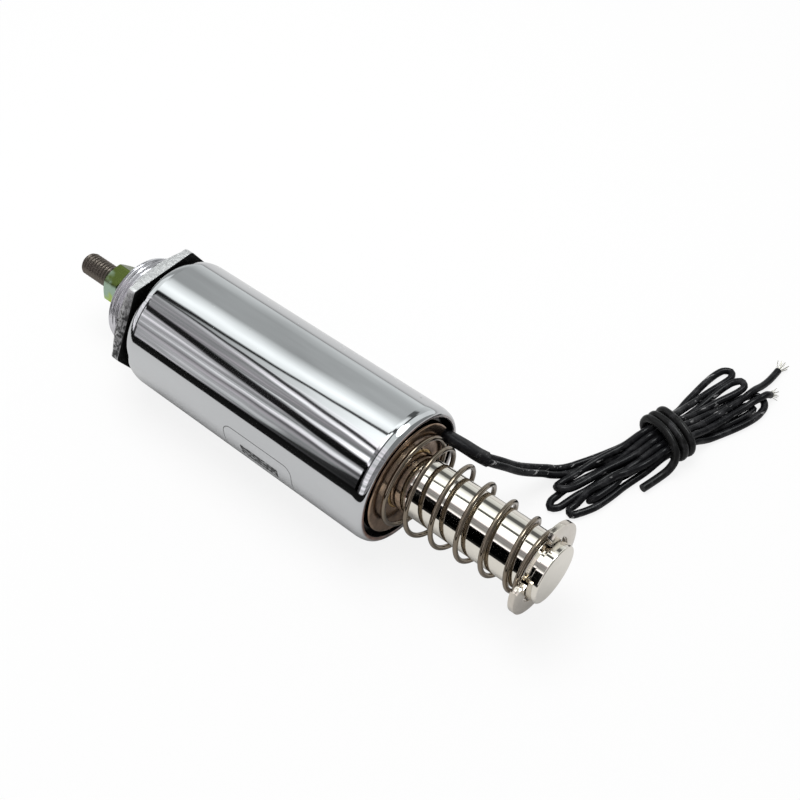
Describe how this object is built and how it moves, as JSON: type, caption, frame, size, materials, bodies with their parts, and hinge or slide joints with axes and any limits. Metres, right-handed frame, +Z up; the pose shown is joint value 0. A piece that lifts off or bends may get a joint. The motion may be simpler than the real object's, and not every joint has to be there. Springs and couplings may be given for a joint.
{
  "type": "push pull solenoid",
  "caption": "Tubular push-pull solenoid: plated can with threaded mounting boss and nut, sprung plunger with retaining clip, push rod, and two flying leads tied in a hank.",
  "frame": {"origin": "centre of the can's front face, the shoulder that seats on the panel", "axes": "+X along the plunger's axis from the panel face to the plunger's head, +Z up from the surface that the can lies on, +Y to the side where the leads lie"},
  "size_m": [0.1268, 0.0979, 0.028],
  "materials": {
    "can_plate": "bright zinc plate, polished",
    "core_steel": "plated turned steel",
    "nut_plate": "bright zinc plate",
    "brass": "drawn",
    "fibre": "pressed fibre",
    "nylon": "moulded nylon",
    "enamelled_copper": "enamelled winding wire",
    "tape": "polyester tape",
    "plate_nickel": "bright nickel plate",
    "nickel": "bright nickel plate",
    "rod_steel": "dark oiled steel, threaded",
    "yellow_zinc": "yellow passivated zinc",
    "clip_nickel": "stamped, nickel plated",
    "spring_steel": "nickel plated spring wire",
    "sleeve": "heat-shrink sleeve",
    "lead_insulation": "extruded insulation",
    "tie": "soft plastic coating",
    "tinned_copper": "tinned stranded copper"
  },
  "bodies": {
    "housing": {"can_shell": "can_plate", "front_core": "core_steel", "mounting_nut": "nut_plate", "residual_washer": "brass", "guide_tube": "brass", "fibre_washer": "fibre", "bobbin": "nylon", "coil_winding": "enamelled_copper", "coil_tape": "tape", "rear_plate": "plate_nickel", "return_spring": "spring_steel", "lead_sleeve": "sleeve", "lead_a": "lead_insulation", "lead_b": "lead_insulation", "lead_hank": "lead_insulation", "hank_tie": "tie", "strand_end_a": "tinned_copper", "strand_end_b": "tinned_copper"},
    "armature": {"plunger": "nickel", "push_rod": "rod_steel", "stop_nut": "yellow_zinc", "lock_nut": "yellow_zinc", "e_clip": "clip_nickel"}
  },
  "joints": [
    {"name": "plunger_slide", "type": "slide", "parent": "housing", "child": "armature", "axis": [-1, 0, 0], "range_m": [0, 0.01], "stiffness_N_per_m": 480, "springref_m": -0.007, "deforming": ["return_spring"]}
  ]
}
